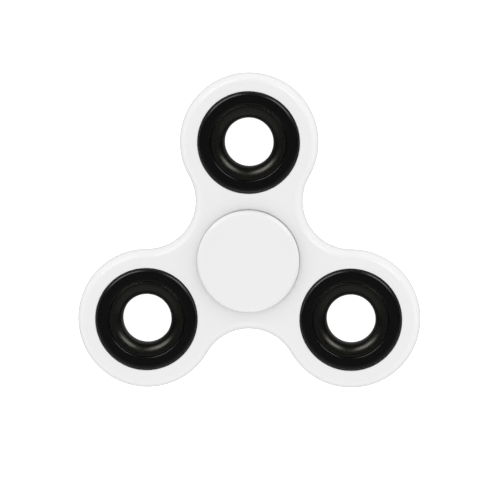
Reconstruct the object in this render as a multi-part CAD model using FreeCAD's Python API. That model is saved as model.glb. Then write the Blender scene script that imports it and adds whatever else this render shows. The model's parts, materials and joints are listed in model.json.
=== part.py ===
"""Three-lobed finger spinner, modelled in millimetres.

The origin is the centre of the middle bearing, on the spin axis. +Z runs along the spin axis out of the
front finger cap, and +Y runs towards the first lobe. A moulded body carries a ball bearing in its middle
and a steel ring weight in each lobe, held by a front and a rear bezel. Two finger caps plug together
through the bearing's bore.
"""
import FreeCAD, Part
import math
import os

# Body moulding
LOBES = 3
FIRST_LOBE_ANGLE = 90.0
ARM_RADIUS = 25.8  # spin axis to the centre of each lobe
LOBE_RADIUS = 15.2
BODY_THICKNESS = 7.6
SHOULDER_RADIUS = 1.3  # where the body's face turns over into its side
SHOULDER_TURN = 60.0  # how far the shoulder turns before the flatter curve of the side takes over
POCKET_MOUTH_RADIUS = 0.2  # rounding where a pocket meets the body's faces
SEAT_MOUTH_RADIUS = 0.45  # the same for the bearing's seat, to lead the bearing in

# Ball bearing, the standard 8 x 22 x 7 mm size
BEARING_BORE_RADIUS = 4.0
BEARING_RADIUS = 11.0
BEARING_SEAT_RADIUS = 11.01
BEARING_WIDTH = 7.0
BEARING_CHAMFER = 0.3
BALLS = 7
BALL_RADIUS = 3.96875 / 2
BALL_PITCH_RADIUS = 7.5
BALL_CLEARANCE = 0.02
RACEWAY_RADIUS = 2.064  # the groove is 4% larger than the ball
INNER_LAND_RADIUS = 6.05
OUTER_LAND_RADIUS = 8.95

# Shields, one in each face of the bearing's outer race
SHIELD_SEAT_RADIUS = 9.6
SHIELD_SEAT_DEPTH = 0.6
SHIELD_INNER_RADIUS = 6.25
SHIELD_THICKNESS = 0.25
SHIELD_RECESS = 0.25  # how far the shield lies below the race's face
SHIELD_STEP_RADIUS = 8.6
SHIELD_STEP = 0.12

# Ball cage, two pressed ribbons riveted together
CAGE_INNER_RADIUS = 6.85
CAGE_OUTER_RADIUS = 8.15
CAGE_SHEET = 0.3
CAGE_POCKET_CLEARANCE = 0.1
RIVET_RADIUS = 0.25
RIVET_HEAD_RADIUS = 0.5
RIVET_HEAD_HEIGHT = 0.2

# Finger caps
CAP_RADIUS = 11.15
CAP_FACE_HEIGHT = 6.4  # bearing's centre to the cap's rim
CAP_UNDERSIDE = 4.2
CAP_EDGE_RADIUS = 0.95
CAP_TAPER = 20.0  # how far the cap's side leans in towards the body, for a fingertip's grip
CAP_LOWER_EDGE_RADIUS = 0.1
CAP_DISH_RADIUS = 9.5
CAP_DISH_DEPTH = 0.2
CAP_SHOULDER_RADIUS = 5.7  # the step that bears on the inner race
CAP_CORE_INNER_RADIUS = 6.6
CAP_CORE_OUTER_RADIUS = 9.9
CAP_CORE_DEPTH = 0.9
CAP_RIBS = 6
CAP_RIB_WIDTH = 0.8
STEM_RADIUS = 3.99
STEM_END = 0.4  # height of each stem's end from the bearing's centre
STEM_CHAMFER = 0.4
SOCKET_RADIUS = 2.5
SOCKET_TOP = 4.6
PLUG_RADIUS = 2.48
PLUG_TOP = 4.2

# Lobe inserts: a steel ring weight between two bezels
POCKET_RADIUS = 11.2
POCKET_RIB_RADIUS = 10.95
POCKET_RIB_HALF = 0.5
WEIGHT_BORE_RADIUS = 5.35
WEIGHT_CREST_RADIUS = 7.77  # where the rounding of the bore's mouth begins
WEIGHT_CREST_HEIGHT = 3.85
WEIGHT_NECK_RADIUS = 8.21
WEIGHT_LIP_ROUND = 0.12
WEIGHT_FLANGE_RADIUS = 10.0
WEIGHT_FLANGE_HALF = 2.9
WEIGHT_FLANGE_CHAMFER = 0.3
BEZEL_RADIUS = 11.15
BEZEL_FACE_HEIGHT = 4.0
BEZEL_EDGE_RADIUS = 0.95
BEZEL_INNER_RADIUS = 8.28
BEZEL_INNER_EDGE_RADIUS = 0.35
BEZEL_WALL_RADIUS = 10.05
BEZEL_WAIST_RADIUS = 10.9
TONGUE_RADIUS = 10.45
TONGUE_LENGTH = 0.8
FIT_GAP = 0.05  # between parts that are pushed together by hand

# What follows from the sizes above
FULL_TURN = 360.0
WAIST_RADIUS = ARM_RADIUS - LOBE_RADIUS  # the hollow between two lobes, tangent to both
HALF_BODY = BODY_THICKNESS / 2
HALF_BEARING = BEARING_WIDTH / 2
WEIGHT_ROUND = WEIGHT_CREST_RADIUS - WEIGHT_BORE_RADIUS
SIDE_TURN = 90.0 - SHOULDER_TURN
SHOULDER_COS = math.cos(math.radians(SHOULDER_TURN))
SHOULDER_SIN = math.sin(math.radians(SHOULDER_TURN))
SIDE_RADIUS = (HALF_BODY - SHOULDER_RADIUS * (1 - SHOULDER_COS)) / SHOULDER_COS
EDGE_INSET = SHOULDER_RADIUS * SHOULDER_SIN + SIDE_RADIUS * (1 - SHOULDER_SIN)  # outline to flat face
UP = FreeCAD.Vector(0, 0, 1)
CENTRE = FreeCAD.Vector(0, 0, 0)


def polar(radius, degrees, height=0.0):
    """The point at a radius and an angle about the spin axis."""
    angle = math.radians(degrees)
    return FreeCAD.Vector(radius * math.cos(angle), radius * math.sin(angle), height)


def point(radius, height):
    """A corner of a lathe profile."""
    return FreeCAD.Vector(radius, 0, height)


def arc(radius, height, size, start, end):
    """A round stretch of a lathe profile: its centre, its radius, and its angles from the +r direction."""
    def on_circle(degrees):
        angle = math.radians(degrees)
        return FreeCAD.Vector(radius + size * math.cos(angle), 0, height + size * math.sin(angle))
    return [on_circle(start), on_circle((start + end) / 2), on_circle(end)]


def lathe(*stretches, turn=FULL_TURN):
    """The solid turned about Z by a closed profile of corners and round stretches, in order."""
    edges = []
    first = None
    here = None
    for stretch in stretches:
        ends = stretch if isinstance(stretch, list) else [stretch]
        if here is None:
            first = ends[0]
        elif here.distanceToPoint(ends[0]) > Part.Precision.confusion():
            edges.append(Part.LineSegment(here, ends[0]).toShape())
        if len(ends) > 1:
            edges.append(Part.Arc(*ends).toShape())
        here = ends[-1]
    edges.append(Part.LineSegment(here, first).toShape())
    return Part.Face(Part.Wire(edges)).revolve(CENTRE, UP, turn)


def turned_over(shape):
    """The same shape turned upside down about the X axis."""
    copy = shape.copy()
    copy.rotate(CENTRE, FreeCAD.Vector(1, 0, 0), FULL_TURN / 2)
    return copy


def moved(shape, place):
    """A copy of a shape carried to a place."""
    copy = shape.copy()
    copy.translate(place)
    return copy


def one_solid(shape):
    """The single solid that a boolean left, with needless seams taken out."""
    clean = shape.removeSplitter()
    return clean.Solids[0] if len(clean.Solids) == 1 else clean


def lobe_angles():
    return [FIRST_LOBE_ANGLE + FULL_TURN / LOBES * n for n in range(LOBES)]


def ball_angles():
    return [FIRST_LOBE_ANGLE + FULL_TURN / BALLS * n for n in range(BALLS)]


def lobe_sector():
    """The outer two thirds of a lobe, from the +X direction on. Its rim has two shoulders and a side."""
    flat = LOBE_RADIUS - EDGE_INSET
    shoulder = HALF_BODY - SHOULDER_RADIUS
    return lathe(
        point(0, -HALF_BODY), arc(flat, -shoulder, SHOULDER_RADIUS, -90, -SIDE_TURN),
        arc(LOBE_RADIUS - SIDE_RADIUS, 0, SIDE_RADIUS, -SIDE_TURN, SIDE_TURN),
        arc(flat, shoulder, SHOULDER_RADIUS, SIDE_TURN, 90), point(0, HALF_BODY),
        turn=FULL_TURN * 2 / 3)


def hollow_cutter():
    """What the body leaves free between two lobes, which gives the hollow's rim the same section."""
    flat = WAIST_RADIUS + EDGE_INSET
    shoulder = HALF_BODY - SHOULDER_RADIUS
    return lathe(
        point(0, -BODY_THICKNESS), point(flat, -BODY_THICKNESS),
        arc(flat, -shoulder, SHOULDER_RADIUS, 270, 180 + SIDE_TURN),
        arc(WAIST_RADIUS + SIDE_RADIUS, 0, SIDE_RADIUS, 180 + SIDE_TURN, 180 - SIDE_TURN),
        arc(flat, shoulder, SHOULDER_RADIUS, 180 - SIDE_TURN, 90),
        point(flat, BODY_THICKNESS), point(0, BODY_THICKNESS))


def solid_plate():
    """The body before its holes. The outline is six arcs, and their centres are a hexagon's corners."""
    half_step = FULL_TURN / LOBES / 2
    corners = []
    for angle in lobe_angles():
        corners += [polar(ARM_RADIUS, angle, -HALF_BODY), polar(ARM_RADIUS, angle + half_step, -HALF_BODY)]
    middle = Part.Face(Part.makePolygon(corners + corners[:1])).extrude(UP * BODY_THICKNESS)
    hollows = [moved(hollow_cutter(), polar(ARM_RADIUS, angle + half_step)) for angle in lobe_angles()]
    sectors = []
    for angle in lobe_angles():
        sector = lobe_sector()
        sector.rotate(CENTRE, UP, angle - FULL_TURN / LOBES)
        sectors.append(moved(sector, polar(ARM_RADIUS, angle)))
    return middle.cut(hollows).fuse(sectors)


def mouth(radius, rounding):
    """The rounded upper edge of a hole in the body, going up and out."""
    return arc(radius + rounding, HALF_BODY - rounding, rounding, 180, 90)


def lower_mouth(radius, rounding):
    return arc(radius + rounding, rounding - HALF_BODY, rounding, 270, 180)


def bearing_hole():
    """What the body leaves free for the bearing."""
    wide = BEARING_SEAT_RADIUS + SEAT_MOUTH_RADIUS
    return lathe(
        point(0, -BODY_THICKNESS), point(wide, -BODY_THICKNESS),
        lower_mouth(BEARING_SEAT_RADIUS, SEAT_MOUTH_RADIUS), mouth(BEARING_SEAT_RADIUS, SEAT_MOUTH_RADIUS),
        point(wide, BODY_THICKNESS), point(0, BODY_THICKNESS))


def insert_pocket():
    """What the body leaves free in a lobe: a round hole with a low rib half way through."""
    wide = POCKET_RADIUS + POCKET_MOUTH_RADIUS
    return lathe(
        point(0, -BODY_THICKNESS), point(wide, -BODY_THICKNESS),
        lower_mouth(POCKET_RADIUS, POCKET_MOUTH_RADIUS),
        point(POCKET_RADIUS, -POCKET_RIB_HALF), point(POCKET_RIB_RADIUS, -POCKET_RIB_HALF),
        point(POCKET_RIB_RADIUS, POCKET_RIB_HALF), point(POCKET_RADIUS, POCKET_RIB_HALF),
        mouth(POCKET_RADIUS, POCKET_MOUTH_RADIUS),
        point(wide, BODY_THICKNESS), point(0, BODY_THICKNESS))


def spinner_body():
    """The moulding: a three-lobed plate with well rounded edges, the bearing's hole and three pockets."""
    pockets = [moved(insert_pocket(), polar(ARM_RADIUS, angle)) for angle in lobe_angles()]
    return one_solid(solid_plate().cut([bearing_hole()] + pockets))


def inner_race():
    """The bearing's inner ring, with its raceway on the outside."""
    ring = lathe(
        point(BEARING_BORE_RADIUS + BEARING_CHAMFER, -HALF_BEARING),
        point(INNER_LAND_RADIUS - BEARING_CHAMFER, -HALF_BEARING),
        point(INNER_LAND_RADIUS, BEARING_CHAMFER - HALF_BEARING),
        point(INNER_LAND_RADIUS, HALF_BEARING - BEARING_CHAMFER),
        point(INNER_LAND_RADIUS - BEARING_CHAMFER, HALF_BEARING),
        point(BEARING_BORE_RADIUS + BEARING_CHAMFER, HALF_BEARING),
        point(BEARING_BORE_RADIUS, HALF_BEARING - BEARING_CHAMFER),
        point(BEARING_BORE_RADIUS, BEARING_CHAMFER - HALF_BEARING))
    track = BALL_PITCH_RADIUS - BALL_RADIUS - BALL_CLEARANCE + RACEWAY_RADIUS
    return one_solid(ring.cut(Part.makeTorus(track, RACEWAY_RADIUS)))


def outer_race():
    """The bearing's outer ring, with its raceway inside and a seat for a shield in each face."""
    seat = HALF_BEARING - SHIELD_SEAT_DEPTH
    ring = lathe(
        point(BEARING_RADIUS - BEARING_CHAMFER, -HALF_BEARING),
        point(BEARING_RADIUS, BEARING_CHAMFER - HALF_BEARING),
        point(BEARING_RADIUS, HALF_BEARING - BEARING_CHAMFER),
        point(BEARING_RADIUS - BEARING_CHAMFER, HALF_BEARING),
        point(SHIELD_SEAT_RADIUS, HALF_BEARING), point(SHIELD_SEAT_RADIUS, seat),
        point(OUTER_LAND_RADIUS, seat), point(OUTER_LAND_RADIUS, -seat),
        point(SHIELD_SEAT_RADIUS, -seat), point(SHIELD_SEAT_RADIUS, -HALF_BEARING))
    track = BALL_PITCH_RADIUS + BALL_RADIUS + BALL_CLEARANCE - RACEWAY_RADIUS
    return one_solid(ring.cut(Part.makeTorus(track, RACEWAY_RADIUS)))


def shield():
    """The front shield: a thin pressed disc with a shallow step, its rim crimped into the seat."""
    top = HALF_BEARING - SHIELD_RECESS
    bottom = top - SHIELD_THICKNESS
    rim = SHIELD_SEAT_RADIUS
    curl = SHIELD_RECESS / 2  # the rim turns up against the seat's wall
    return lathe(
        point(SHIELD_INNER_RADIUS, bottom - SHIELD_STEP), point(SHIELD_STEP_RADIUS, bottom - SHIELD_STEP),
        point(SHIELD_STEP_RADIUS + SHIELD_STEP, bottom), point(rim, bottom), point(rim, top + curl),
        point(rim - SHIELD_THICKNESS, top + curl), point(rim - SHIELD_THICKNESS, top),
        point(SHIELD_STEP_RADIUS, top), point(SHIELD_STEP_RADIUS - SHIELD_STEP, top - SHIELD_STEP),
        point(SHIELD_INNER_RADIUS, top - SHIELD_STEP))


def web_angles():
    """Where the two ribbons lie flat together, half way between the balls."""
    return [angle + FULL_TURN / BALLS / 2 for angle in ball_angles()]


def cage_front_half():
    """The front ribbon: flat webs joined by a round cup over each ball, with a rivet hole in each web."""
    pocket = BALL_RADIUS + CAGE_POCKET_CLEARANCE
    reach = BALL_RADIUS + CAGE_POCKET_CLEARANCE + CAGE_SHEET
    centres = [polar(BALL_PITCH_RADIUS, angle) for angle in ball_angles()]
    sheet = Part.makeCylinder(CAGE_OUTER_RADIUS + CAGE_SHEET, CAGE_SHEET)
    domed = sheet.fuse([Part.makeSphere(reach, centre) for centre in centres])
    band = lathe(
        point(CAGE_INNER_RADIUS, 0), point(CAGE_OUTER_RADIUS, 0),
        point(CAGE_OUTER_RADIUS, reach + CAGE_SHEET), point(CAGE_INNER_RADIUS, reach + CAGE_SHEET))
    rivet_places = [polar(BALL_PITCH_RADIUS, angle) for angle in web_angles()]
    holes = [Part.makeCylinder(RIVET_RADIUS, reach, place) for place in rivet_places]
    pockets = [Part.makeSphere(pocket, centre) for centre in centres]
    return one_solid(band.common(domed).cut(pockets + holes))


def cage_rear_half():
    """The rear ribbon, the front one's mirror image behind the balls."""
    return cage_front_half().mirror(CENTRE, UP)


def cage_rivets():
    """One rivet through each pair of webs, a separate solid each."""
    head_base = CAGE_SHEET
    head_top = CAGE_SHEET + RIVET_HEAD_HEIGHT
    rivet = lathe(
        point(0, -head_top), point(RIVET_HEAD_RADIUS, -head_top), point(RIVET_HEAD_RADIUS, -head_base),
        point(RIVET_RADIUS, -head_base), point(RIVET_RADIUS, head_base),
        point(RIVET_HEAD_RADIUS, head_base), point(RIVET_HEAD_RADIUS, head_top), point(0, head_top))
    return Part.makeCompound([moved(rivet, polar(BALL_PITCH_RADIUS, angle)) for angle in web_angles()])


def bearing_ball(angle):
    return Part.makeSphere(BALL_RADIUS, polar(BALL_PITCH_RADIUS, angle))


def cap_head():
    """A finger cap's disc: a shallow dish, a rim that overhangs, and hollows between six ribs below."""
    rim = CAP_RADIUS - CAP_EDGE_RADIUS
    dish = (CAP_DISH_RADIUS ** 2 + CAP_DISH_DEPTH ** 2) / (2 * CAP_DISH_DEPTH)
    dish_half_angle = math.degrees(math.asin(CAP_DISH_RADIUS / dish))
    # Both rounds end where the leaning side touches them, so the lower one's centre lies in by the lean
    drop = CAP_FACE_HEIGHT - CAP_EDGE_RADIUS - CAP_UNDERSIDE - CAP_LOWER_EDGE_RADIUS
    lean = math.radians(CAP_TAPER)
    foot = rim + (CAP_EDGE_RADIUS - CAP_LOWER_EDGE_RADIUS) / math.cos(lean) - drop * math.tan(lean)
    disc = lathe(
        point(0, CAP_UNDERSIDE),
        arc(foot, CAP_UNDERSIDE + CAP_LOWER_EDGE_RADIUS, CAP_LOWER_EDGE_RADIUS, -90, -CAP_TAPER),
        arc(rim, CAP_FACE_HEIGHT - CAP_EDGE_RADIUS, CAP_EDGE_RADIUS, -CAP_TAPER, 90),
        arc(0, CAP_FACE_HEIGHT - CAP_DISH_DEPTH + dish, dish, dish_half_angle - 90, -90))
    shoulder = Part.makeCylinder(CAP_SHOULDER_RADIUS, CAP_UNDERSIDE - HALF_BEARING, UP * HALF_BEARING)
    core = Part.makeCylinder(CAP_CORE_OUTER_RADIUS, CAP_CORE_DEPTH, UP * CAP_UNDERSIDE)
    core = core.cut(Part.makeCylinder(CAP_CORE_INNER_RADIUS, CAP_CORE_DEPTH, UP * CAP_UNDERSIDE))
    for n in range(CAP_RIBS):
        rib = Part.makeBox(CAP_RADIUS, CAP_RIB_WIDTH, CAP_CORE_DEPTH,
                           FreeCAD.Vector(0, -CAP_RIB_WIDTH / 2, CAP_UNDERSIDE))
        rib.rotate(CENTRE, UP, FULL_TURN / CAP_RIBS * n)
        core = core.cut(rib)
    return disc.cut(core).fuse(shoulder)


def front_cap():
    """The front finger cap. Its hollow stem is a push fit in the bearing's bore."""
    stem = lathe(
        point(SOCKET_RADIUS + STEM_CHAMFER, STEM_END),
        point(STEM_RADIUS - STEM_CHAMFER, STEM_END), point(STEM_RADIUS, STEM_END + STEM_CHAMFER),
        point(STEM_RADIUS, CAP_UNDERSIDE), point(SOCKET_RADIUS, CAP_UNDERSIDE),
        point(SOCKET_RADIUS, STEM_END + STEM_CHAMFER))
    socket = Part.makeCylinder(SOCKET_RADIUS, SOCKET_TOP - STEM_END, UP * STEM_END)
    return one_solid(cap_head().fuse(stem).cut(socket))


def rear_cap():
    """The rear finger cap. Its stem ends in a plug that pushes into the front cap's stem."""
    stem = lathe(
        point(0, -CAP_UNDERSIDE), point(STEM_RADIUS, -CAP_UNDERSIDE),
        point(STEM_RADIUS, -STEM_END - STEM_CHAMFER), point(STEM_RADIUS - STEM_CHAMFER, -STEM_END),
        point(PLUG_RADIUS, -STEM_END), point(PLUG_RADIUS, PLUG_TOP - STEM_CHAMFER),
        point(PLUG_RADIUS - STEM_CHAMFER, PLUG_TOP), point(0, PLUG_TOP))
    return one_solid(turned_over(cap_head()).fuse(stem))


def ring_weight():
    """The steel ring in a lobe. Both mouths of its bore are well rounded, and a flange holds it."""
    bore_half = WEIGHT_CREST_HEIGHT - WEIGHT_ROUND
    lip = WEIGHT_NECK_RADIUS - WEIGHT_LIP_ROUND
    lip_half = WEIGHT_CREST_HEIGHT - WEIGHT_LIP_ROUND
    edge = WEIGHT_FLANGE_RADIUS - WEIGHT_FLANGE_CHAMFER
    edge_half = WEIGHT_FLANGE_HALF - WEIGHT_FLANGE_CHAMFER
    return lathe(
        arc(WEIGHT_CREST_RADIUS, bore_half, WEIGHT_ROUND, 180, 90),
        arc(lip, lip_half, WEIGHT_LIP_ROUND, 90, 0),
        point(WEIGHT_NECK_RADIUS, WEIGHT_FLANGE_HALF), point(edge, WEIGHT_FLANGE_HALF),
        point(WEIGHT_FLANGE_RADIUS, edge_half), point(WEIGHT_FLANGE_RADIUS, -edge_half),
        point(edge, -WEIGHT_FLANGE_HALF), point(WEIGHT_NECK_RADIUS, -WEIGHT_FLANGE_HALF),
        arc(lip, -lip_half, WEIGHT_LIP_ROUND, 0, -90),
        arc(WEIGHT_CREST_RADIUS, -bore_half, WEIGHT_ROUND, -90, -180))


def bezel(*joint):
    """The front bezel of a lobe, from its waist up; joint is the profile of its lower end, going inwards."""
    return lathe(
        point(BEZEL_WALL_RADIUS, WEIGHT_FLANGE_HALF + FIT_GAP),
        point(BEZEL_INNER_RADIUS, WEIGHT_FLANGE_HALF + FIT_GAP),
        arc(BEZEL_INNER_RADIUS + BEZEL_INNER_EDGE_RADIUS, BEZEL_FACE_HEIGHT - BEZEL_INNER_EDGE_RADIUS,
            BEZEL_INNER_EDGE_RADIUS, 180, 90),
        arc(BEZEL_RADIUS - BEZEL_EDGE_RADIUS, BEZEL_FACE_HEIGHT - BEZEL_EDGE_RADIUS,
            BEZEL_EDGE_RADIUS, 90, 0),
        point(BEZEL_RADIUS, POCKET_RIB_HALF + FIT_GAP),
        point(BEZEL_WAIST_RADIUS, POCKET_RIB_HALF + FIT_GAP),
        *joint)


def front_bezel():
    """Its lower end narrows to a thin tongue."""
    return bezel(
        point(BEZEL_WAIST_RADIUS, FIT_GAP), point(TONGUE_RADIUS, FIT_GAP),
        point(TONGUE_RADIUS, -TONGUE_LENGTH), point(BEZEL_WALL_RADIUS, -TONGUE_LENGTH))


def rear_bezel():
    """Its upper end is cut away inside to take the front bezel's tongue."""
    socket = TONGUE_LENGTH + FIT_GAP
    return turned_over(bezel(
        point(BEZEL_WAIST_RADIUS, 0), point(TONGUE_RADIUS + FIT_GAP, 0),
        point(TONGUE_RADIUS + FIT_GAP, socket), point(BEZEL_WALL_RADIUS, socket)))


def all_parts():
    """Every named piece in its place."""
    parts = {
        "spinner_body": spinner_body(),
        "front_finger_cap": front_cap(),
        "rear_finger_cap": rear_cap(),
        "bearing_inner_race": inner_race(),
        "bearing_outer_race": outer_race(),
        "bearing_shield_front": shield(),
        "bearing_shield_rear": turned_over(shield()),
        "cage_front_half": cage_front_half(),
        "cage_rear_half": cage_rear_half(),
        "cage_rivets": cage_rivets(),
    }
    for number, angle in enumerate(ball_angles(), 1):
        parts[f"bearing_ball_{number}"] = bearing_ball(angle)
    for number, angle in enumerate(lobe_angles(), 1):
        lobe = polar(ARM_RADIUS, angle)
        parts[f"ring_weight_{number}"] = moved(ring_weight(), lobe)
        parts[f"bezel_front_{number}"] = moved(front_bezel(), lobe)
        parts[f"bezel_rear_{number}"] = moved(rear_bezel(), lobe)
    return parts


os.makedirs("parts", exist_ok=True)
for name, shape in all_parts().items():
    if not shape.isValid() or not shape.Solids:
        raise RuntimeError(f"{name} is not a sound solid")
    shape.exportStep(f"parts/{name}.step")
    print(f"{name}: {len(shape.Solids)} solid, {shape.Volume:.1f} mm3")
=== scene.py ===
import json
import math

import bmesh
import bpy
from bpy.props import FloatProperty, FloatVectorProperty, IntProperty, PointerProperty
from mathutils import Matrix, Vector


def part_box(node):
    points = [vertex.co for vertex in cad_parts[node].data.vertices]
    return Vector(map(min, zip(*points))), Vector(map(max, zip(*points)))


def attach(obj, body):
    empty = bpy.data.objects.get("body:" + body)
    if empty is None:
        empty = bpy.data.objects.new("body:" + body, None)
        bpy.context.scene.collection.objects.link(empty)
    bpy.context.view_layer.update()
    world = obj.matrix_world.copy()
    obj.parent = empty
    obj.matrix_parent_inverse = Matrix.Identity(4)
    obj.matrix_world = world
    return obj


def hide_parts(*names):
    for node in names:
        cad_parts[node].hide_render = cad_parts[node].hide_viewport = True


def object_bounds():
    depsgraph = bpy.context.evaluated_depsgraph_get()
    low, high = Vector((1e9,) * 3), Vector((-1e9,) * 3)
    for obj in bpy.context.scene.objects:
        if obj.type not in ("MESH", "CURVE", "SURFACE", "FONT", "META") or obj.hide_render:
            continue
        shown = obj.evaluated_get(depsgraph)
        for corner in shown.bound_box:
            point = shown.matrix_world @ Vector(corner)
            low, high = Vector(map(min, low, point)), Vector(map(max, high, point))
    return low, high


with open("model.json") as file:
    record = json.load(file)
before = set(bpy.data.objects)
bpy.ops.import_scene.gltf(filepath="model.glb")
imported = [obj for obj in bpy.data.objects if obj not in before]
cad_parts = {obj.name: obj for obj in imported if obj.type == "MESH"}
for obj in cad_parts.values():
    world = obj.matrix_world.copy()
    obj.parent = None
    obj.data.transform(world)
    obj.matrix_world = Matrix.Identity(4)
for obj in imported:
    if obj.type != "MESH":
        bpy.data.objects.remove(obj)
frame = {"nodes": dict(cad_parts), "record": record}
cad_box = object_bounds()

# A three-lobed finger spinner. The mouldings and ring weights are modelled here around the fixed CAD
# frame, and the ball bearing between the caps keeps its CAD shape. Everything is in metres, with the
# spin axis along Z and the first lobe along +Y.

bl_info = {
    "name": "Finger Spinner",
    "version": (1, 0, 0),
    "blender": (4, 5, 0),
    "location": "3D View > Sidebar > Spinner",
    "description": "Models a three-lobed finger spinner around its CAD frame",
    "category": "Object",
}

MM = 0.001
UP = Vector((0, 0, 1))
FULL_TURN = 2 * math.pi
MERGE_DISTANCE = 0.001 * MM
TURNED_STEPS = 120
SHARP_EDGE = math.radians(40)

# Places that the frame gives
bores = [m for m in frame["record"]["mounts"] if m["kind"] == "bore"]
lobe_centres = [Vector(m["pos_m"]) for m in bores]
LOBES = len(lobe_centres)
FIRST_LOBE = lobe_centres[0]
ARM_RADIUS = FIRST_LOBE.length
BORE_RADIUS = bores[0]["dims"]["r_mm"] * MM
body_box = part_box("spinner_body")
cap_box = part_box("front_finger_cap")
rear_cap_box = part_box("rear_finger_cap")
weight_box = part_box("ring_weight_1")
bezel_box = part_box("bezel_front_1")
outer_race_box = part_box("bearing_outer_race")
floor_height = cad_box[0].z


def half_width(box):
    """Half of a box's size along X: the radius of the round piece that it holds."""
    return (box[1].x - box[0].x) / 2


def linear(hex_colour):
    """A colour written as sRGB hex, such as #c0c0c0, as the linear numbers that Blender uses."""
    channels = [int(hex_colour[n:n + 2], 16) / 255 for n in (1, 3, 5)]
    return [c / 12.92 if c <= 0.04045 else ((c + 0.055) / 1.055) ** 2.4 for c in channels]


# ---------------------------------------------------------------- settings


class BodySettings(bpy.types.PropertyGroup):
    """The moulded body."""
    shoulder_radius: FloatProperty(
        name="Shoulder radius", description="Rounding where a face turns over into the side",
        default=1.3 * MM, min=0.5 * MM, max=3.0 * MM, unit="LENGTH")
    shoulder_turn: FloatProperty(
        name="Shoulder turn", description="How far the shoulder turns before the flatter side takes over",
        default=math.radians(60), min=math.radians(30), max=math.radians(85), subtype="ANGLE")
    pocket_mouth: FloatProperty(
        name="Pocket mouth", description="Rounding where each pocket meets the faces",
        default=0.2 * MM, min=0.05 * MM, max=0.8 * MM, unit="LENGTH")
    seat_mouth: FloatProperty(
        name="Seat mouth", description="Rounding where the bearing's seat meets the faces",
        default=0.45 * MM, min=0.05 * MM, max=0.8 * MM, unit="LENGTH")
    arc_steps: IntProperty(
        name="Arc steps", description="Mesh steps in a third of a turn of the outline",
        default=40, min=12, max=64)
    colour: FloatVectorProperty(
        name="Colour", description="Colour of the white plastic", subtype="COLOR",
        default=linear("#f0f0f0"), min=0, max=1)


class CapSettings(bpy.types.PropertyGroup):
    """The two finger caps."""
    edge_radius: FloatProperty(
        name="Edge radius", description="Rounding of each cap's outer edge",
        default=0.95 * MM, min=0.2 * MM, max=1.2 * MM, unit="LENGTH")
    taper: FloatProperty(
        name="Side taper", description="How far each cap's side leans in towards the body",
        default=math.radians(20), min=0, max=math.radians(35), subtype="ANGLE")
    dish_radius: FloatProperty(
        name="Dish radius", description="Radius of the shallow dish in each cap",
        default=9.5 * MM, min=5 * MM, max=10 * MM, unit="LENGTH")
    dish_depth: FloatProperty(
        name="Dish depth", description="Depth of the dish at its middle",
        default=0.2 * MM, min=0.01 * MM, max=0.5 * MM, unit="LENGTH")
    colour: FloatVectorProperty(
        name="Colour", description="Colour of the white plastic", subtype="COLOR",
        default=linear("#f0f0f0"), min=0, max=1)


class InsertSettings(bpy.types.PropertyGroup):
    """The ring weights and their bezels."""
    bore_rounding: FloatProperty(
        name="Bore rounding", description="Radius of the round from a weight's crest down into its bore",
        default=2.42 * MM, min=0.5 * MM, max=2.42 * MM, unit="LENGTH")
    bezel_edge_radius: FloatProperty(
        name="Bezel edge radius", description="Rounding of each bezel's outer edge",
        default=0.95 * MM, min=0.2 * MM, max=1.0 * MM, unit="LENGTH")
    weight_colour: FloatVectorProperty(
        name="Weight colour", description="Colour of the weights' black coating", subtype="COLOR",
        default=linear("#070707"), min=0, max=1)
    bezel_colour: FloatVectorProperty(
        name="Bezel colour", description="Colour of the bezels' black plastic", subtype="COLOR",
        default=linear("#080808"), min=0, max=1)


class BearingSettings(bpy.types.PropertyGroup):
    """The middle ball bearing."""
    steel_colour: FloatVectorProperty(
        name="Steel colour", description="Colour of the hardened steel of races and balls",
        subtype="COLOR", default=linear("#c4c5c8"), min=0, max=1)
    sheet_colour: FloatVectorProperty(
        name="Sheet colour", description="Colour of the pressed steel of shields and cage",
        subtype="COLOR", default=linear("#b9b8b4"), min=0, max=1)


class StageSettings(bpy.types.PropertyGroup):
    """Floor, lights and camera."""
    floor_glow: FloatProperty(
        name="Floor glow", description="How brightly the white table is lit from below",
        default=0.95, min=0, max=5)
    light_power: FloatProperty(
        name="Softbox power", description="Power of the softboxes in watts per square metre",
        default=8.2, min=0, max=200)
    light_height: FloatProperty(
        name="Softbox height", description="Height of each softbox",
        default=0.62, min=0.05, max=2, unit="LENGTH")
    camera_distance: FloatProperty(
        name="Camera distance", description="Distance from the spinner to the camera",
        default=1.15, min=0.2, max=5, unit="LENGTH")
    view_width: FloatProperty(
        name="View width", description="Width of the view at the spinner",
        default=109.5 * MM, min=20 * MM, max=500 * MM, unit="LENGTH")


# ---------------------------------------------------------------- modelling by hand, in code


def start_alone():
    """Leaves edit mode and deselects all, so that the next operator acts on the next piece alone."""
    if bpy.context.object and bpy.context.object.mode != "OBJECT":
        bpy.ops.object.mode_set(mode="OBJECT")
    bpy.ops.object.select_all(action="DESELECT")


def pick(kind, test):
    """In edit mode, selects only the vertices, edges or faces that pass a test of element and middle."""
    bpy.ops.mesh.select_mode(type=kind)
    bpy.ops.mesh.select_all(action="DESELECT")
    mesh = bmesh.from_edit_mesh(bpy.context.edit_object.data)
    if kind == "VERT":
        found = [v for v in mesh.verts if test(v, v.co)]
    elif kind == "EDGE":
        found = [e for e in mesh.edges if test(e, (e.verts[0].co + e.verts[1].co) / 2)]
    else:
        found = [f for f in mesh.faces if test(f, f.calc_center_median())]
    for element in found:
        element.select_set(True)
    bmesh.update_edit_mesh(bpy.context.edit_object.data)
    return len(found)


def near(a, b):
    """Whether two places are the same one."""
    return (a - b).length < MERGE_DISTANCE


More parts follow.
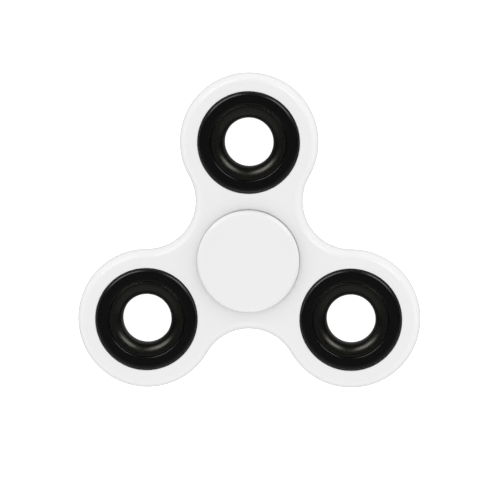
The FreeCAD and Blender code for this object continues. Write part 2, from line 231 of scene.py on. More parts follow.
def draw_profile(name, corners):
    """Draws a piece's section in edit mode: one vertex extruded from corner to corner, left unrounded;
    round_corners rounds it afterwards.

    Each corner is its place, its rounding and the rounding's steps.
    """
    start_alone()
    bpy.ops.mesh.primitive_plane_add(size=MM, location=corners[0][0])
    bpy.context.object.name = name
    bpy.ops.object.transform_apply(location=True)
    bpy.ops.object.mode_set(mode="EDIT")
    bpy.ops.mesh.merge(type="CENTER")
    for before, after in zip(corners, corners[1:]):
        bpy.ops.mesh.extrude_vertices_move(TRANSFORM_OT_translate={"value": after[0] - before[0]})


def round_corners(corners):
    """Bevels each corner of a drawn section that has a rounding."""
    for place, rounding, steps in corners:
        if rounding:
            pick("VERT", lambda v, middle: near(middle, place))
            bpy.ops.mesh.bevel(
                offset_type="OFFSET", offset=rounding, segments=steps, profile=0.5, affect="VERTICES")


def sweep(centre, turn, steps):
    """Turns what is selected about a vertical line. The spin operator turns the other way by itself."""
    bpy.ops.mesh.spin(steps=steps, angle=-turn, center=centre, axis=UP, use_auto_merge=False)


def close_up():
    """Merges what meets and turns all faces outwards, still in edit mode."""
    bpy.ops.mesh.select_mode(type="VERT")
    bpy.ops.mesh.select_all(action="SELECT")
    bpy.ops.mesh.remove_doubles(threshold=MERGE_DISTANCE)
    bpy.ops.mesh.normals_make_consistent(inside=False)


def finish_shading(piece):
    """Smooth shading that keeps flats flat and real corners sharp."""
    bpy.context.view_layer.objects.active = piece
    piece.select_set(True)
    bpy.ops.object.shade_smooth_by_angle(angle=SHARP_EDGE)
    piece.modifiers.new("Even shading", "WEIGHTED_NORMAL").keep_sharp = True
    bpy.ops.object.modifier_apply(modifier="Even shading")


def turned(name, outline, centre=Vector(), shape_more=None):
    """A piece turned like a lathe part from an outline of (radius, height, rounding, rounding steps).

    An outline that starts and ends on the axis is left open there; any other is closed. shape_more is
    called while the piece is still in edit mode.
    """
    away = centre.normalized() if centre.length else Vector((0, 1, 0))
    corners = [(centre + away * r + UP * z, rounding, n) for r, z, rounding, n in outline]
    draw_profile(name, corners)
    if outline[0][0] > 0:
        ends = corners[0][0], corners[-1][0]
        pick("VERT", lambda v, middle: near(middle, ends[0]) or near(middle, ends[1]))
        bpy.ops.mesh.edge_face_add()
    round_corners(corners)
    bpy.ops.mesh.select_all(action="SELECT")
    sweep(centre, FULL_TURN, TURNED_STEPS)
    close_up()
    if shape_more:
        shape_more()
    bpy.ops.object.mode_set(mode="OBJECT")
    piece = bpy.context.object
    finish_shading(piece)
    return piece


def copy_round(piece, number, name):
    """A copy of a first-lobe piece, with its own mesh, carried round to another lobe."""
    start_alone()
    piece.select_set(True)
    bpy.context.view_layer.objects.active = piece
    bpy.ops.object.duplicate()
    copy = bpy.context.object
    copy.name = name
    copy.rotation_euler.z = FULL_TURN / LOBES * number
    bpy.ops.object.transform_apply(rotation=True)
    return copy


def fit_out(piece, material, body, node):
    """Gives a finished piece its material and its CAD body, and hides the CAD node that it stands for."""
    piece.data.materials.clear()
    piece.data.materials.append(material)
    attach(piece, body)
    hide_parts(node)


# ---------------------------------------------------------------- materials


def add_node(material, kind, settings=None, links=None):
    """Adds a shader node, sets its sockets and options by name, and links sockets from earlier nodes."""
    tree = material.node_tree
    node = tree.nodes.new(kind)
    for name, value in (settings or {}).items():
        if isinstance(name, int) or name in node.inputs:
            node.inputs[name].default_value = value
        else:
            setattr(node, name, value)
    for name, (source, output) in (links or {}).items():
        tree.links.new(source.outputs[output], node.inputs[name])
    return node


def new_material(name):
    """An empty node material."""
    material = bpy.data.materials.new(name)
    material.use_nodes = True
    material.node_tree.nodes.clear()
    return material


def per_mm(size):
    """A texture scale for features of about this size in millimetres, on coordinates in metres."""
    return 1 / (size * MM)


def moulded_white_abs(name, colour):
    """White ABS, injection moulded in a finely blasted steel tool.

    The eye sees an even, neutral white with a soft satin sheen. The blasted grain is about
    0.05 mm, too fine to show, so it is drawn at 0.3 mm with a very low height. The slow tone change is
    how the melt flowed.
    """
    material = new_material(name)
    place = add_node(material, "ShaderNodeTexCoord")
    flow = add_node(
        material, "ShaderNodeTexNoise", {"Scale": per_mm(14), "Detail": 2.0, "Roughness": 0.45},
        {"Vector": (place, "Object")})
    grain = add_node(
        material, "ShaderNodeTexNoise", {"Scale": per_mm(0.3), "Detail": 3.0, "Roughness": 0.6},
        {"Vector": (place, "Object")})
    tone = add_node(
        material, "ShaderNodeMapRange", {"From Min": 0.3, "From Max": 0.7, "To Min": 0.985, "To Max": 1.0},
        {"Value": (flow, "Fac")})
    white = add_node(
        material, "ShaderNodeVectorMath", {"operation": "SCALE", 0: colour}, {"Scale": (tone, 0)})
    sheen = add_node(
        material, "ShaderNodeMapRange", {"From Min": 0.3, "From Max": 0.7, "To Min": 0.17, "To Max": 0.22},
        {"Value": (grain, "Fac")})
    bumps = add_node(
        material, "ShaderNodeBump", {"Strength": 0.12, "Distance": 0.01 * MM}, {"Height": (grain, "Fac")})
    shader = add_node(
        material, "ShaderNodeBsdfPrincipled",
        {"IOR": 1.53, "Subsurface Weight": 0.08, "Subsurface Radius": (1.0, 0.95, 0.9),
         "Subsurface Scale": 0.6 * MM},
        {"Base Color": (white, 0), "Roughness": (sheen, 0), "Normal": (bumps, 0)})
    add_node(material, "ShaderNodeOutputMaterial", links={"Surface": (shader, 0)})
    return material


def dust(material, place, spacing, radius, share):
    """A mask of stray dust specks.

    The surface is divided into cells of about the spacing, and that share of them holds a speck, which
    fades out at the given radius. Both lengths are in millimetres.
    """
    cells = add_node(
        material, "ShaderNodeTexVoronoi", {"Scale": per_mm(spacing), "Randomness": 1.0},
        {"Vector": (place, "Object")})
    speck = add_node(
        material, "ShaderNodeMapRange",
        {"From Min": radius / spacing, "From Max": 0.4 * radius / spacing, "To Min": 0.0, "To Max": 1.0},
        {"Value": (cells, "Distance")})
    parts = add_node(material, "ShaderNodeSeparateColor", links={"Color": (cells, "Color")})
    chosen = add_node(
        material, "ShaderNodeMath", {"operation": "LESS_THAN", 1: share}, {0: (parts, "Red")})
    return add_node(
        material, "ShaderNodeMath", {"operation": "MULTIPLY"}, {0: (speck, 0), 1: (chosen, 0)})


def moulded_black_abs(name, colour):
    """Black ABS, injection moulded, satin.

    The eye sees a deep neutral black with soft highlights along the rounded edge. A few stray dust
    specks about 0.2 mm across lie on it, coarser than most real dust so that they show. The IOR of
    1.62 was matched to the strength of the highlights and lies above the usual 1.53 of ABS.
    """
    material = new_material(name)
    place = add_node(material, "ShaderNodeTexCoord")
    grain = add_node(
        material, "ShaderNodeTexNoise", {"Scale": per_mm(0.35), "Detail": 3.0, "Roughness": 0.6},
        {"Vector": (place, "Object")})
    sheen = add_node(
        material, "ShaderNodeMapRange", {"From Min": 0.3, "From Max": 0.7, "To Min": 0.2, "To Max": 0.27},
        {"Value": (grain, "Fac")})
    bumps = add_node(
        material, "ShaderNodeBump", {"Strength": 0.15, "Distance": 0.01 * MM}, {"Height": (grain, "Fac")})
    specks = dust(material, place, spacing=2.2, radius=0.14, share=0.12)
    tint = add_node(
        material, "ShaderNodeMix",
        {"data_type": "RGBA", "A": (*colour, 1), "B": (*linear("#3a3a38"), 1)}, {"Factor": (specks, 0)})
    shader = add_node(
        material, "ShaderNodeBsdfPrincipled", {"IOR": 1.62},
        {"Base Color": (tint, 2), "Roughness": (sheen, 0), "Normal": (bumps, 0)})
    add_node(material, "ShaderNodeOutputMaterial", links={"Surface": (shader, 0)})
    return material


def black_coated_steel(name, colour):
    """Turned steel under a smooth black coating of enamel.

    The eye sees a black with long soft highlights round the mouth of the bore, faintly warm from the
    tint of its gloss. Orange peel of about 0.8 mm in the coating breaks them up a little. Its IOR of
    1.75 was matched to those highlights and lies above the usual 1.5 of enamel.
    """
    material = new_material(name)
    place = add_node(material, "ShaderNodeTexCoord")
    peel = add_node(
        material, "ShaderNodeTexNoise", {"Scale": per_mm(0.8), "Detail": 2.0, "Roughness": 0.5},
        {"Vector": (place, "Object")})
    sheen = add_node(
        material, "ShaderNodeMapRange", {"From Min": 0.3, "From Max": 0.7, "To Min": 0.26, "To Max": 0.32},
        {"Value": (peel, "Fac")})
    bumps = add_node(
        material, "ShaderNodeBump", {"Strength": 0.12, "Distance": 0.01 * MM}, {"Height": (peel, "Fac")})
    shader = add_node(
        material, "ShaderNodeBsdfPrincipled",
        {"Base Color": (*colour, 1), "IOR": 1.75, "Specular Tint": (1.0, 0.98, 0.86, 1.0)},
        {"Roughness": (sheen, 0), "Normal": (bumps, 0)})
    add_node(material, "ShaderNodeOutputMaterial", links={"Surface": (shader, 0)})
    return material


def ring_marks(material, place, spacing):
    """The height of fine rings about the spin axis, as a grinding wheel or a lathe leaves them."""
    flat = add_node(
        material, "ShaderNodeVectorMath", {"operation": "MULTIPLY", 1: (1, 1, 0)}, {0: (place, "Object")})
    radius = add_node(material, "ShaderNodeVectorMath", {"operation": "LENGTH"}, {0: (flat, 0)})
    return add_node(
        material, "ShaderNodeTexNoise",
        {"noise_dimensions": "1D", "Scale": per_mm(spacing), "Detail": 3.0, "Roughness": 0.7},
        {"W": (radius, "Value")})


def ground_steel(name, colour):
    """Hardened bearing steel, ground on its faces.

    The eye sees a bright grey with a sheen drawn out in rings. Real grinding marks are finer, so they
    are drawn 0.1 mm apart to show.
    """
    material = new_material(name)
    place = add_node(material, "ShaderNodeTexCoord")
    marks = ring_marks(material, place, 0.1)
    sheen = add_node(
        material, "ShaderNodeMapRange", {"From Min": 0.3, "From Max": 0.7, "To Min": 0.16, "To Max": 0.28},
        {"Value": (marks, "Fac")})
    bumps = add_node(
        material, "ShaderNodeBump", {"Strength": 0.2, "Distance": 0.004 * MM}, {"Height": (marks, "Fac")})
    shader = add_node(
        material, "ShaderNodeBsdfPrincipled",
        {"Base Color": (*colour, 1), "Metallic": 1.0, "Anisotropic": 0.3},
        {"Roughness": (sheen, 0), "Normal": (bumps, 0)})
    add_node(material, "ShaderNodeOutputMaterial", links={"Surface": (shader, 0)})
    return material


def polished_ball_steel(name, colour):
    """Lapped chrome steel under a thin uneven film of oil.

    The eye sees balls close to a mirror, with small clear highlights that soften where the film is thick.
    """
    material = new_material(name)
    place = add_node(material, "ShaderNodeTexCoord")
    film = add_node(
        material, "ShaderNodeTexNoise", {"Scale": per_mm(1.2), "Detail": 2.0, "Roughness": 0.5},
        {"Vector": (place, "Object")})
    sheen = add_node(
        material, "ShaderNodeMapRange", {"From Min": 0.3, "From Max": 0.7, "To Min": 0.04, "To Max": 0.1},
        {"Value": (film, "Fac")})
    shader = add_node(
        material, "ShaderNodeBsdfPrincipled",
        {"Base Color": (*colour, 1), "Metallic": 1.0, "Coat Weight": 0.3, "Coat Roughness": 0.08,
         "Coat IOR": 1.47},
        {"Roughness": (sheen, 0)})
    add_node(material, "ShaderNodeOutputMaterial", links={"Surface": (shader, 0)})
    return material


def pressed_steel(name, colour):
    """Bright rolled strip, pressed to shape.

    The eye sees a duller sheen than on the races, with grain and small tone changes. Real rolling grain
    is finer, so it is drawn at 0.4 mm to show.
    """
    material = new_material(name)
    place = add_node(material, "ShaderNodeTexCoord")
    grain = add_node(
        material, "ShaderNodeTexNoise", {"Scale": per_mm(0.4), "Detail": 4.0, "Roughness": 0.65},
        {"Vector": (place, "Object")})
    tone = add_node(
        material, "ShaderNodeMapRange", {"From Min": 0.3, "From Max": 0.7, "To Min": 0.9, "To Max": 1.0},
        {"Value": (grain, "Fac")})
    steel = add_node(
        material, "ShaderNodeVectorMath", {"operation": "SCALE", 0: colour}, {"Scale": (tone, 0)})
    sheen = add_node(
        material, "ShaderNodeMapRange", {"From Min": 0.3, "From Max": 0.7, "To Min": 0.28, "To Max": 0.42},
        {"Value": (grain, "Fac")})
    bumps = add_node(
        material, "ShaderNodeBump", {"Strength": 0.15, "Distance": 0.006 * MM}, {"Height": (grain, "Fac")})
    shader = add_node(
        material, "ShaderNodeBsdfPrincipled", {"Metallic": 1.0},
        {"Base Color": (steel, 0), "Roughness": (sheen, 0), "Normal": (bumps, 0)})
    add_node(material, "ShaderNodeOutputMaterial", links={"Surface": (shader, 0)})
    return material


# ---------------------------------------------------------------- pieces


class SPINNER_OT_body(bpy.types.Operator):
    """Model the three-lobed body"""
    bl_idname = "spinner.body"
    bl_label = "Body"

    # Sizes that the outside of the frame doesn't show
    SEAT_RADIUS = 11.01 * MM
    POCKET_RADIUS = 11.2 * MM
    RIB_RADIUS = 10.95 * MM
    RIB_HALF = 0.5 * MM
    PARTING_DEPTH = 0.03 * MM
    PARTING_HALF = 0.06 * MM
    SIDE_STEPS = 6
    SHOULDER_STEPS = 12
    MOUTH_STEPS = 4

    def edge_section(self, settings, half):
        """The outer edge as (inset from the outline, height), from the parting line up to the flat face."""
        side_turn = FULL_TURN / 4 - settings.shoulder_turn
        shoulder = settings.shoulder_radius
        side = (half - shoulder * (1 - math.sin(side_turn))) / math.sin(side_turn)
        flat_inset = (shoulder - side) * math.cos(side_turn) + side
        section = [(self.PARTING_DEPTH, 0), (0, self.PARTING_HALF)]
        for n in range(1, self.SIDE_STEPS):
            angle = side_turn * n / self.SIDE_STEPS
            section.append((side - side * math.cos(angle), side * math.sin(angle)))
        for n in range(self.SHOULDER_STEPS + 1):
            angle = side_turn + settings.shoulder_turn * n / self.SHOULDER_STEPS
            section.append((
                flat_inset - shoulder * math.cos(angle), half - shoulder + shoulder * math.sin(angle)))
        return section

    def rim(self, settings, half, lobe_radius):
        """The edge of one third of the upper half: half a hollow, the lobe, half a hollow."""
        sixth = FULL_TURN / LOBES / 2
        hollows = [FIRST_LOBE.copy(), FIRST_LOBE.copy()]
        for hollow, side in zip(hollows, (-1, 1)):
            hollow.rotate(Matrix.Rotation(side * sixth, 3, "Z"))
        hollow_radius = ARM_RADIUS - lobe_radius
        inwards = -hollows[0].normalized()
        draw_profile("spinner_body_shell", [
            (hollows[0] + inwards * (hollow_radius + inset) + UP * height, 0, 0)
            for inset, height in self.edge_section(settings, half)])
        bpy.ops.mesh.select_all(action="SELECT")
        sweep(hollows[0], -sixth, settings.arc_steps // 2)
        sweep(FIRST_LOBE, FULL_TURN * 2 / 3, settings.arc_steps * 2)
        sweep(hollows[1], -sixth, settings.arc_steps // 2)
        bpy.ops.object.mode_set(mode="OBJECT")
        return bpy.context.object

    def hole(self, sections, centre, steps):
        """The wall of a hole, drawn as its own open strip."""
        corners = [(centre + Vector((r, 0, z)), rounding, n) for r, z, rounding, n in sections]
        draw_profile("hole_wall", corners)
        round_corners(corners)
        bpy.ops.mesh.select_all(action="SELECT")
        sweep(centre, FULL_TURN, steps)
        bpy.ops.object.mode_set(mode="OBJECT")
        return bpy.context.object

    def joined(self, pieces):
        """The pieces as one object, the first of them."""
        start_alone()
        for piece in pieces:
            piece.select_set(True)
        bpy.context.view_layer.objects.active = pieces[0]
        bpy.ops.object.join()
        return pieces[0]

    def execute(self, context):
        settings = context.scene.spinner_body
        half = body_box[1].z
        lobe_radius = min(body_box[1].y - ARM_RADIUS, -body_box[0].y - ARM_RADIUS / 2)
        steps = settings.arc_steps * LOBES

        rim = self.rim(settings, half, lobe_radius)
        pocket = self.hole([
            (self.RIB_RADIUS, 0, 0, 0), (self.RIB_RADIUS, self.RIB_HALF, 0, 0),
            (self.POCKET_RADIUS, self.RIB_HALF, 0, 0),
            (self.POCKET_RADIUS, half, settings.pocket_mouth, self.MOUTH_STEPS),
            (self.POCKET_RADIUS + settings.pocket_mouth * 2, half, 0, 0)], FIRST_LOBE, steps)
        seat = self.hole([
            (self.SEAT_RADIUS, 0, 0, 0),
            (self.SEAT_RADIUS, half, settings.seat_mouth, self.MOUTH_STEPS * 2),
            (self.SEAT_RADIUS + settings.seat_mouth * 2, half, 0, 0)], Vector(), steps)
        third = self.joined([rim, pocket])
        thirds = [third] + [copy_round(third, n, "spinner_body_third") for n in range(1, LOBES)]
        body = self.joined(thirds + [seat])

        bpy.ops.object.mode_set(mode="EDIT")
        close_up()
        pick("EDGE", lambda edge, middle: edge.is_boundary and abs(middle.z - half) < MERGE_DISTANCE)
        bpy.ops.mesh.fill(use_beauty=True)
        bpy.ops.object.mode_set(mode="OBJECT")
        mirror = body.modifiers.new("Mirror", "MIRROR")
        mirror.use_axis = (False, False, True)
        mirror.merge_threshold = MERGE_DISTANCE
        bpy.ops.object.modifier_apply(modifier="Mirror")
        bpy.ops.object.mode_set(mode="EDIT")
        close_up()
        bpy.ops.object.mode_set(mode="OBJECT")
        finish_shading(body)
        fit_out(body, moulded_white_abs("moulded white ABS body", settings.colour),
                "rotor", "spinner_body")
        return {"FINISHED"}


class SPINNER_OT_caps(bpy.types.Operator):
    """Model the two finger caps"""
    bl_idname = "spinner.finger_caps"
    bl_label = "Finger caps"

    UNDERSIDE = 4.2 * MM
    LOWER_EDGE_RADIUS = 0.1 * MM
    LOWER_EDGE_STEPS = 3
    CORE_OUTER_RADIUS = 9.9 * MM
    CORE_INNER_RADIUS = 6.6 * MM
    CORE_DEPTH = 0.9 * MM
    CORE_SLACK = 0.01 * MM
    RIBS = 6
    RIB_HALF_ANGLE = math.radians(3.2)
    SHOULDER_RADIUS = 5.7 * MM
    SHOULDER_EDGE_RADIUS = 0.1 * MM
    SHOULDER_EDGE_STEPS = 2
    STEM_RADIUS = 3.99 * MM
    STEM_END = 0.4 * MM
    STEM_CHAMFER = 0.4 * MM
    SOCKET_RADIUS = 2.5 * MM
    SOCKET_TOP = 4.6 * MM
    PLUG_RADIUS = 2.48 * MM
    DISH_STEPS = 8
    EDGE_STEPS = 14

    def head(self, settings, face):
        """From the middle of the dish out over the rim, under the disc and in to the stem."""
        radius = half_width(cap_box)
        dish = (settings.dish_radius ** 2 + settings.dish_depth ** 2) / (2 * settings.dish_depth)
        outline = []
        for n in range(self.DISH_STEPS + 1):
            r = settings.dish_radius * n / self.DISH_STEPS
            rise = dish - math.sqrt(dish ** 2 - r ** 2)
            outline.append((r, face - settings.dish_depth + rise, 0, 0))
        edge = settings.edge_radius
        for n in range(self.EDGE_STEPS + 1):
            angle = FULL_TURN / 4 - (FULL_TURN / 4 + settings.taper) * n / self.EDGE_STEPS
            outline.append((
                radius - edge + edge * math.cos(angle), face - edge + edge * math.sin(angle), 0, 0))
        edge_end, edge_foot = outline[-1][:2]
        foot = edge_end - (edge_foot - self.UNDERSIDE) * math.tan(settings.taper)
        return outline + [
            (foot, self.UNDERSIDE, self.LOWER_EDGE_RADIUS, self.LOWER_EDGE_STEPS),
            (self.CORE_OUTER_RADIUS, self.UNDERSIDE, 0, 0), (self.CORE_INNER_RADIUS, self.UNDERSIDE, 0, 0),
            (self.SHOULDER_RADIUS, self.UNDERSIDE, 0, 0),
            (self.SHOULDER_RADIUS, outer_race_box[1].z, self.SHOULDER_EDGE_RADIUS,
             self.SHOULDER_EDGE_STEPS),
            (self.STEM_RADIUS, outer_race_box[1].z, 0, 0)]

    def sink_core(self, side):
        """Presses the hollows into the underside, leaving a rib between each two."""
        between = FULL_TURN / self.RIBS
        lowest = self.UNDERSIDE + self.CORE_SLACK

        def in_hollow(face, middle):
            radius = middle.xy.length
            off_rib = (math.atan2(middle.y, middle.x) + between / 2) % between - between / 2
            in_ring = self.CORE_INNER_RADIUS < radius < self.CORE_OUTER_RADIUS
            return in_ring and abs(middle.z) < lowest and abs(off_rib) > self.RIB_HALF_ANGLE

        pick("FACE", in_hollow)
        bpy.ops.mesh.extrude_region_move(
            TRANSFORM_OT_translate={"value": (0, 0, side * self.CORE_DEPTH)})
        close_up()

    def execute(self, context):
        settings = context.scene.spinner_caps
        material = moulded_white_abs("moulded white ABS caps", settings.colour)
        end = self.STEM_END
        front = self.head(settings, cap_box[1].z) + [
            (self.STEM_RADIUS, end, self.STEM_CHAMFER, 1),
            (self.SOCKET_RADIUS, end, self.STEM_CHAMFER, 1),
            (self.SOCKET_RADIUS, self.SOCKET_TOP, 0, 0), (0, self.SOCKET_TOP, 0, 0)]
        piece = turned("finger_cap_front", front, shape_more=lambda: self.sink_core(1))
        fit_out(piece, material, "hub", "front_finger_cap")

        plug_end = rear_cap_box[1].z
        rear = [(r, -z, rounding, n) for r, z, rounding, n in self.head(settings, -rear_cap_box[0].z)] + [
            (self.STEM_RADIUS, -end, self.STEM_CHAMFER, 1), (self.PLUG_RADIUS, -end, 0, 0),
            (self.PLUG_RADIUS, plug_end, self.STEM_CHAMFER, 1), (0, plug_end, 0, 0)]
        piece = turned("finger_cap_rear", rear, shape_more=lambda: self.sink_core(-1))
        fit_out(piece, material, "hub", "rear_finger_cap")
        return {"FINISHED"}


class SPINNER_OT_weights(bpy.types.Operator):
    """Model the ring weight of each lobe"""
    bl_idname = "spinner.ring_weights"
    bl_label = "Ring weights"

    BORE_STEPS = 18
    NECK_RADIUS = 8.21 * MM
    LIP_ROUND = 0.12 * MM
    LIP_STEPS = 4
    FLANGE_HALF = 2.9 * MM
    FLANGE_CHAMFER = 0.3 * MM
    FLANGE_STEPS = 2

    def execute(self, context):
        settings = context.scene.spinner_inserts
        crest = weight_box[1].z
        flange = half_width(weight_box)
        upper = [
            (BORE_RADIUS, crest, settings.bore_rounding, self.BORE_STEPS),
            (self.NECK_RADIUS, crest, self.LIP_ROUND, self.LIP_STEPS),
            (self.NECK_RADIUS, self.FLANGE_HALF, 0, 0),
            (flange, self.FLANGE_HALF, self.FLANGE_CHAMFER, self.FLANGE_STEPS)]
        lower = [(r, -z, rounding, n) for r, z, rounding, n in reversed(upper)]
        first = turned("ring_weight_first", upper + lower, FIRST_LOBE)
        material = black_coated_steel("black coated steel", settings.weight_colour)
        pieces = [first] + [copy_round(first, n, "ring_weight_copy") for n in range(1, LOBES)]
        for number, piece in enumerate(pieces, 1):
            piece.name = f"weight_ring_{number}"
            fit_out(piece, material, "rotor", f"ring_weight_{number}")
        return {"FINISHED"}


class SPINNER_OT_bezels(bpy.types.Operator):
    """Model the front and rear bezels that hold each weight"""
    bl_idname = "spinner.bezels"
    bl_label = "Bezels"

    INNER_RADIUS = 8.28 * MM
    INNER_EDGE_RADIUS = 0.35 * MM
    INNER_EDGE_STEPS = 4
    OUTER_EDGE_STEPS = 10
    SHELF = 2.95 * MM
    WALL_RADIUS = 10.05 * MM
    WAIST_RADIUS = 10.9 * MM
    WAIST_START = 0.55 * MM
    TONGUE_RADIUS = 10.45 * MM
    TONGUE_LENGTH = 0.8 * MM
    GAP = 0.05 * MM

    def outline(self, settings, joint):
        """A bezel's section with the joint at its inner end."""
        face = bezel_box[1].z
        radius = half_width(bezel_box)
        return [
            (self.WALL_RADIUS, self.SHELF, 0, 0), (self.INNER_RADIUS, self.SHELF, 0, 0),
            (self.INNER_RADIUS, face, self.INNER_EDGE_RADIUS, self.INNER_EDGE_STEPS),
            (radius, face, settings.bezel_edge_radius, self.OUTER_EDGE_STEPS),
            (radius, self.WAIST_START, 0, 0),
            (self.WAIST_RADIUS, self.WAIST_START, 0, 0)] + joint

    def execute(self, context):
        settings = context.scene.spinner_inserts
        material = moulded_black_abs("moulded black ABS", settings.bezel_colour)
        tongue = [
            (self.WAIST_RADIUS, self.GAP, 0, 0), (self.TONGUE_RADIUS, self.GAP, 0, 0),
            (self.TONGUE_RADIUS, -self.TONGUE_LENGTH, 0, 0), (self.WALL_RADIUS, -self.TONGUE_LENGTH, 0, 0)]
        groove_radius = self.TONGUE_RADIUS + self.GAP
        groove_depth = self.TONGUE_LENGTH + self.GAP
        groove = [
            (self.WAIST_RADIUS, 0, 0, 0), (groove_radius, 0, 0, 0),
            (groove_radius, groove_depth, 0, 0), (self.WALL_RADIUS, groove_depth, 0, 0)]
        for side, joint, turn_over in (("front", tongue, 1), ("rear", groove, -1)):
            section = [(r, z * turn_over, rounding, n) for r, z, rounding, n in self.outline(settings, joint)]
            first = turned("bezel_first", section, FIRST_LOBE)
            pieces = [first] + [copy_round(first, n, "bezel_copy") for n in range(1, LOBES)]
            for number, piece in enumerate(pieces, 1):
                piece.name = f"{side}_bezel_{number}"
                fit_out(piece, material, "rotor", f"bezel_{side}_{number}")
        return {"FINISHED"}


class SPINNER_OT_bearing(bpy.types.Operator):
    """Give the ball bearing's races, balls, cage and shields their finish"""
    bl_idname = "spinner.bearing"
    bl_label = "Ball bearing"

    def execute(self, context):
        settings = context.scene.spinner_bearing
        ground = ground_steel("ground bearing steel", settings.steel_colour)
        polished = polished_ball_steel("lapped ball steel", settings.steel_colour)
        pressed = pressed_steel("pressed bright steel", settings.sheet_colour)
        for name, node in frame["nodes"].items():
            material = None
            if name.startswith("bearing_ball"):
                material = polished
            elif name.endswith("race"):
                material = ground
            elif name.startswith(("bearing_shield", "cage")):
                material = pressed
            if material:
                node.data.materials.clear()
                node.data.materials.append(material)
        return {"FINISHED"}


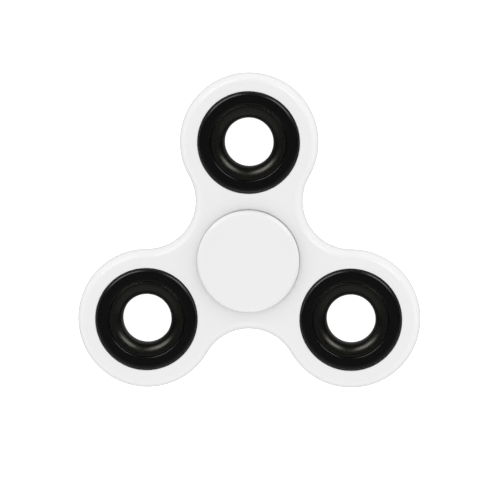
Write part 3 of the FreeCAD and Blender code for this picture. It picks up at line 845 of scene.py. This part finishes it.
class SPINNER_OT_stage(bpy.types.Operator):
    """Set up the white table, two softboxes and the camera"""
    bl_idname = "spinner.stage"
    bl_label = "Stage"

    TABLE_SIZE = 6.0
    TABLE_COLOUR = "#bcbcbc"
    TABLE_ROUGHNESS = 0.6
    LIGHT_DISTANCE = 1.3
    LIGHT_OFF_AXIS = math.radians(54)
    SOFTBOXES = ((math.radians(50), 0.66), (math.radians(124), 0.8))  # direction and width of each

    # Strength of the room's light. The wall fades out between two values of a ray's Y direction.
    WALL_FROM, WALL_TO = -0.45, -0.05
    WALL_GLOW = 0.21
    DARK_GLOW = 0.008
    LOW_GLOW = 0.17
    FILL_NEAR, FILL_FAR = 1.21, 1.37

    LEAN_BACK = math.radians(4.2)
    LEAN_RIGHT = math.radians(2.2)
    AIM = Vector((0.18 * MM, 2.06 * MM, 0))

    def table(self, settings):
        """A white light table. It brightens what faces it, but polished parts don't mirror it."""
        start_alone()
        bpy.ops.mesh.primitive_plane_add(size=self.TABLE_SIZE, location=(0, 0, floor_height))
        floor = bpy.context.object
        floor.name = "white_table"
        floor.visible_glossy = False
        material = new_material("white light table")
        shader = add_node(
            material, "ShaderNodeBsdfPrincipled",
            {"Base Color": (*linear(self.TABLE_COLOUR), 1), "Roughness": self.TABLE_ROUGHNESS,
             "Emission Color": (1, 1, 1, 1), "Emission Strength": settings.floor_glow})
        add_node(material, "ShaderNodeOutputMaterial", links={"Surface": (shader, 0)})
        floor.data.materials.append(material)

    def softbox(self, settings, azimuth, width):
        """A soft light at the back. Gloss mirrors it, and the room alone gives matt surfaces their light."""
        lean = self.LIGHT_OFF_AXIS
        direction = Vector((math.cos(azimuth) * math.sin(lean), math.sin(azimuth) * math.sin(lean),
                            math.cos(lean)))
        bpy.ops.object.light_add(type="AREA", location=direction * self.LIGHT_DISTANCE)
        light = bpy.context.object
        light.visible_diffuse = False
        sideways = UP.cross(direction).normalized()
        light.rotation_euler = Matrix(
            (sideways, direction.cross(sideways), direction)).transposed().to_euler()
        light.data.shape = "RECTANGLE"
        light.data.size = width
        light.data.size_y = settings.light_height
        light.data.energy = settings.light_power * width * settings.light_height

    def room(self):
        """A white room, with its own strength for each kind of ray.

        Gloss mirrors a pale wall on the near side, dark overhead and a dim light from below. Matt
        surfaces get a nearly even light from all sides, and the camera sees plain white.
        """
        world = bpy.data.worlds.new("studio room")
        bpy.context.scene.world = world
        world.use_nodes = True
        world.node_tree.nodes.clear()
        direction = add_node(world, "ShaderNodeTexCoord")
        parts = add_node(world, "ShaderNodeSeparateXYZ", links={"Vector": (direction, "Generated")})
        above = add_node(
            world, "ShaderNodeMath", {"operation": "GREATER_THAN", 1: 0.0}, {0: (parts, "Z")})
        wall = add_node(
            world, "ShaderNodeMapRange",
            {"From Min": self.WALL_FROM, "From Max": self.WALL_TO, "To Min": self.WALL_GLOW,
             "To Max": self.DARK_GLOW},
            {"Value": (parts, "Y")})
        mirrored = add_node(
            world, "ShaderNodeMix", {"data_type": "FLOAT", "A": self.LOW_GLOW},
            {"Factor": (above, 0), "B": (wall, 0)})
        fill = add_node(
            world, "ShaderNodeMapRange",
            {"From Min": -1.0, "From Max": 1.0, "To Min": self.FILL_NEAR, "To Max": self.FILL_FAR},
            {"Value": (parts, "Y")})
        rays = add_node(world, "ShaderNodeLightPath")
        lit = add_node(
            world, "ShaderNodeMix", {"data_type": "FLOAT"},
            {"Factor": (rays, "Is Glossy Ray"), "A": (fill, 0), "B": (mirrored, 0)})
        seen = add_node(
            world, "ShaderNodeMath", {"operation": "MAXIMUM"}, {0: (lit, 0), 1: (rays, "Is Camera Ray")})
        glow = add_node(world, "ShaderNodeBackground", links={"Strength": (seen, 0)})
        add_node(world, "ShaderNodeOutputWorld", links={"Surface": (glow, 0)})

    def camera(self, settings):
        """The camera, nearly straight above, leaning a little back and to the right."""
        back = Vector((math.sin(self.LEAN_RIGHT), math.sin(self.LEAN_BACK), 1)).normalized()
        right = Vector((0, 1, 0)).cross(back).normalized()
        axes = Matrix((right, back.cross(right), back)).transposed()
        bpy.ops.object.camera_add(
            location=self.AIM + back * settings.camera_distance, rotation=axes.to_euler())
        camera = bpy.context.object
        camera.data.lens = camera.data.sensor_width * settings.camera_distance / settings.view_width
        bpy.context.scene.camera = camera

    def execute(self, context):
        settings = context.scene.spinner_stage
        self.table(settings)
        for azimuth, width in self.SOFTBOXES:
            self.softbox(settings, azimuth, width)
        self.room()
        self.camera(settings)
        context.scene.view_settings.view_transform = "Standard"
        return {"FINISHED"}


class SPINNER_PT_parts(bpy.types.Panel):
    """The spinner's pieces, in the order in which they are made"""
    bl_idname = "SPINNER_PT_parts"
    bl_label = "Finger spinner"
    bl_space_type = "VIEW_3D"
    bl_region_type = "UI"
    bl_category = "Spinner"

    def draw(self, context):
        for operator in OPERATORS:
            self.layout.operator(operator.bl_idname)


SETTINGS = {
    "spinner_body": BodySettings,
    "spinner_caps": CapSettings,
    "spinner_inserts": InsertSettings,
    "spinner_bearing": BearingSettings,
    "spinner_stage": StageSettings,
}
OPERATORS = (
    SPINNER_OT_stage, SPINNER_OT_body, SPINNER_OT_caps, SPINNER_OT_weights, SPINNER_OT_bezels,
    SPINNER_OT_bearing)
CLASSES = (*SETTINGS.values(), *OPERATORS, SPINNER_PT_parts)


def register():
    for cls in CLASSES:
        bpy.utils.register_class(cls)
    for name, group in SETTINGS.items():
        setattr(bpy.types.Scene, name, PointerProperty(type=group))


def unregister():
    for name in SETTINGS:
        delattr(bpy.types.Scene, name)
    for cls in reversed(CLASSES):
        bpy.utils.unregister_class(cls)


def main():
    """Builds the stage and every piece."""
    register()
    bpy.ops.spinner.stage()
    bpy.ops.spinner.body()
    bpy.ops.spinner.finger_caps()
    bpy.ops.spinner.ring_weights()
    bpy.ops.spinner.bezels()
    bpy.ops.spinner.bearing()


if __name__ == "__main__":
    main()
